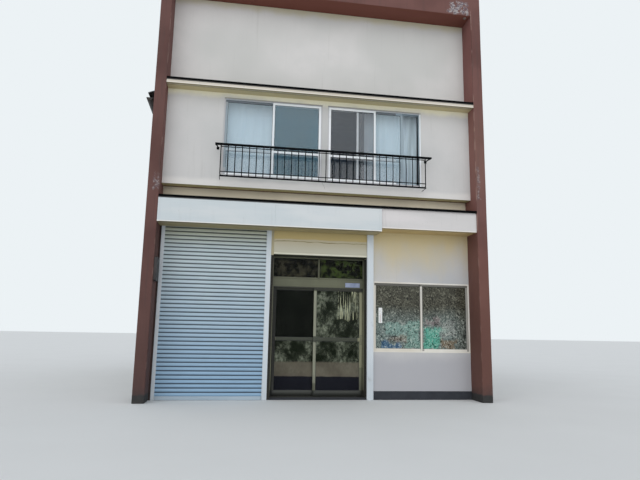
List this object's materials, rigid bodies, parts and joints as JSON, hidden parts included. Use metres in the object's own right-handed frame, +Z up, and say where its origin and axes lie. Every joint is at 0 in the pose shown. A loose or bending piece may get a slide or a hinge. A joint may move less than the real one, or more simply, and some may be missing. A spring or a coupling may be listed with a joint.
{
  "type": "two-storey terraced-type timber family house with a flat false front",
  "caption": "Narrow two-storey town house with brown side fins, roller shutter, sliding glass entrance and railed upper windows.",
  "frame": {"origin": "on the ground, at the middle of the bounding box's bottom face", "axes": "+Z up; the front faces -Y; +X to the right as seen from the street"},
  "size_m": [6.08, 8.3, 7.32],
  "materials": {
    "render": "rough sprayed render",
    "side_render": "trowelled cement render",
    "brown_paint": "brown masonry paint, peeling in places",
    "cream_boxing": "cream paint",
    "shutter_boxing": "pale grey-blue paint",
    "flashing": "black paint",
    "shutter": "blue-grey enamel, dusty",
    "post": "white anodised",
    "white_frame": "white anodised",
    "bronze_frame": "bronze anodised, worn",
    "clear_glass": "clear",
    "patterned_glass": "rolled pattern",
    "iron": "black paint",
    "concrete": "rough concrete",
    "boards": "worn boards",
    "roof_tile": "smoked clay",
    "gutter": "brown",
    "cloth": "thin pale blue cloth",
    "plate": "enamel",
    "dark_box": "dark",
    "white_plastic": "white"
  },
  "bodies": {
    "house": {"foundation": "concrete", "upper_floor": "boards", "left_wall": "side_render", "right_wall": "side_render", "rear_ground_wall": "side_render", "rear_gable_wall": "side_render", "rear_window_frames": "white_frame", "rear_window_glass": "clear_glass", "roof_left": "roof_tile", "roof_right": "roof_tile", "ridge_cap": "roof_tile", "gutters": "gutter", "downpipes": "gutter", "left_fin": "brown_paint", "right_fin": "brown_paint", "head_beam": "brown_paint", "top_panel": "render", "window_hood": "cream_boxing", "hood_flashing": "flashing", "upper_front_wall": "render", "front_lintel": "render", "ground_front_wall": "render", "canopy_flashing": "flashing", "canopy": "cream_boxing", "shutter_box": "shutter_boxing", "roller_shutter": "shutter", "left_post": "post", "middle_post": "post", "right_post": "post", "upper_window_frames": "white_frame", "upper_window_sashes": "white_frame", "upper_window_glass": "clear_glass", "ground_window_frame": "white_frame", "ground_window_sashes": "white_frame", "ground_window_glass": "patterned_glass", "upper_railing": "iron", "railing_brackets": "iron", "curtain_rods": "white_frame", "left_curtain": "cloth", "right_curtain": "cloth", "entrance_step": "concrete", "entrance_cheeks": "render", "entrance_head": "cream_boxing", "door_jambs": "bronze_frame", "door_header": "bronze_frame", "door_sill": "bronze_frame", "transom_frame": "bronze_frame", "transom_glass": "clear_glass", "number_plate": "plate", "thermometer": "white_plastic", "fin_box": "dark_box", "soffit_lamp": "white_plastic"},
    "left_leaf": {"left_door_leaf": "bronze_frame", "left_door_glass": "clear_glass"},
    "right_leaf": {"right_door_leaf": "bronze_frame", "right_door_glass": "clear_glass"}
  },
  "joints": [
    {"name": "left_door_slide", "type": "slide", "parent": "house", "child": "left_leaf", "axis": [1, 0, 0], "range_m": [0, 0.689]},
    {"name": "right_door_slide", "type": "slide", "parent": "house", "child": "right_leaf", "axis": [-1, 0, 0], "range_m": [0, 0.689]}
  ]
}
